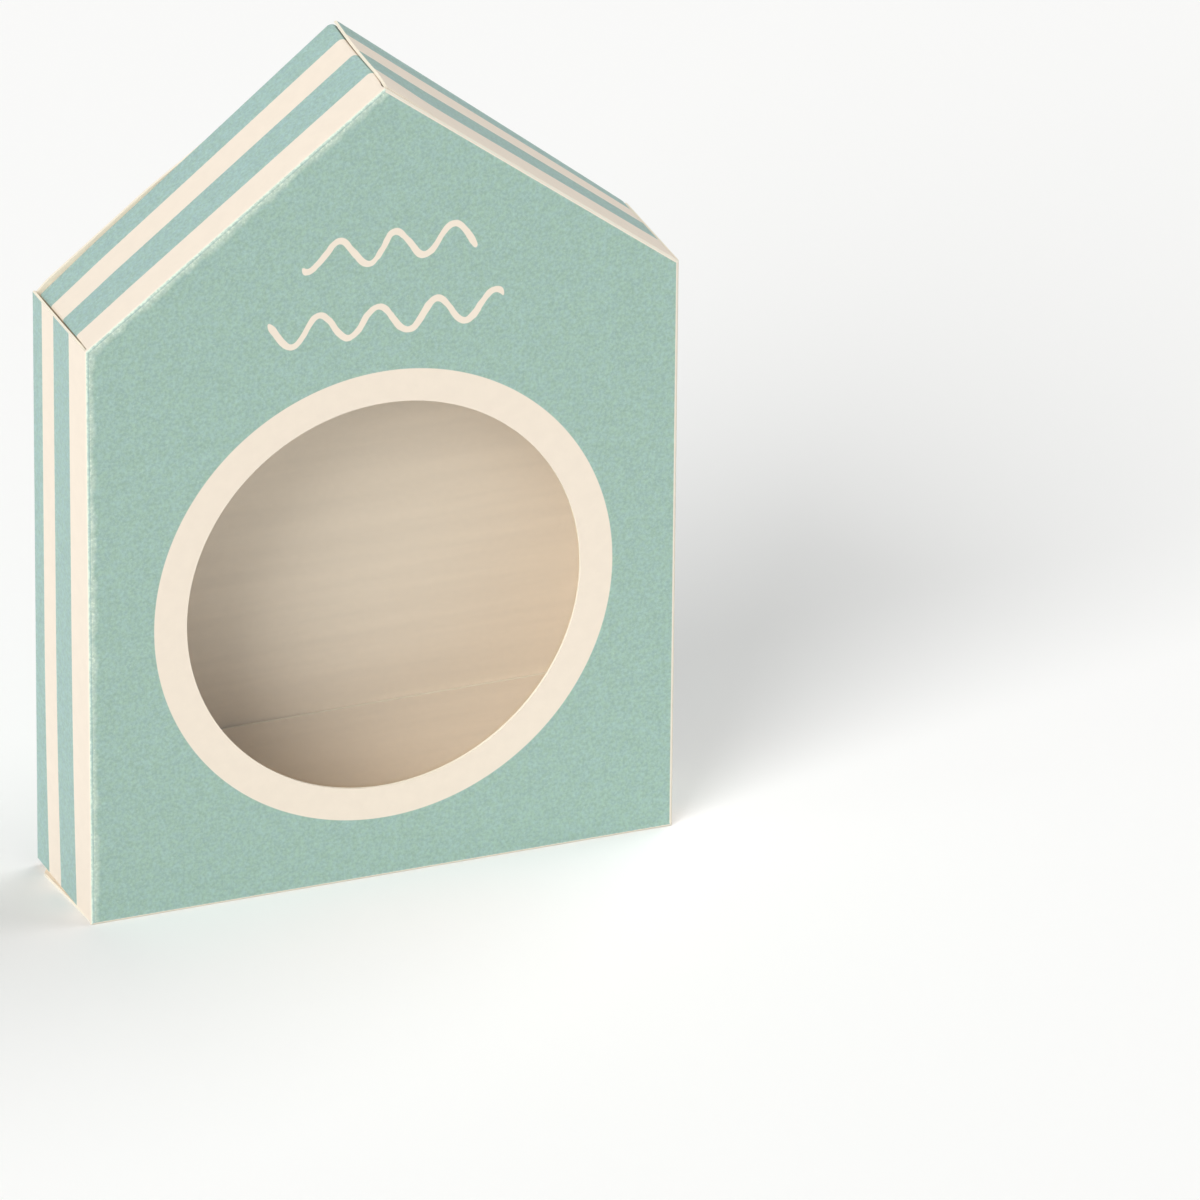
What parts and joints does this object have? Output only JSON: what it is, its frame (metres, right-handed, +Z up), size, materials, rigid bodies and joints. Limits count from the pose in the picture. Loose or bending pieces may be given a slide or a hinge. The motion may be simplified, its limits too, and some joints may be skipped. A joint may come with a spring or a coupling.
{
  "type": "beach hut toy carton",
  "caption": "Flat folded paperboard toy carton shaped like a gabled beach hut, with a round film window and two hinged roof flaps.",
  "frame": {"origin": "centre of the underside", "axes": "+Z up to the ridge, +Y from the window to the back, +X to the right as seen from the front"},
  "size_m": [0.1, 0.024, 0.1365],
  "materials": {
    "printed_board": "uncoated paperboard, offset printed in sea green with cream stripes and ring",
    "bare_board": "uncoated cream paperboard, matt",
    "clear_film": "clear plastic window film, glossy"
  },
  "bodies": {
    "root": {"front_panel": "printed_board", "back_panel": "bare_board", "left_wall": "printed_board", "right_wall": "printed_board", "seam_flap": "bare_board", "window_film": "clear_film", "bottom_panel": "bare_board", "bottom_tuck_flap": "bare_board", "dust_flap_left": "bare_board", "dust_flap_right": "bare_board"},
    "roof_left": {"roof_panel_left": "printed_board", "ridge_lip": "bare_board", "eave_lip_left": "bare_board", "roof_tuck_left": "bare_board"},
    "roof_right": {"roof_panel_right": "printed_board", "eave_lip_right": "bare_board", "roof_tuck_right": "bare_board"}
  },
  "joints": [
    {"name": "roof_left_fold", "type": "hinge", "parent": "root", "child": "roof_left", "pos_m": [-0.025, -0.012, 0.118], "axis": [0.8038, 0, 0.5948], "range_deg": [0, 100]},
    {"name": "roof_right_fold", "type": "hinge", "parent": "root", "child": "roof_right", "pos_m": [0.025, -0.012, 0.118], "axis": [0.8038, 0, -0.5948], "range_deg": [0, 100]}
  ]
}
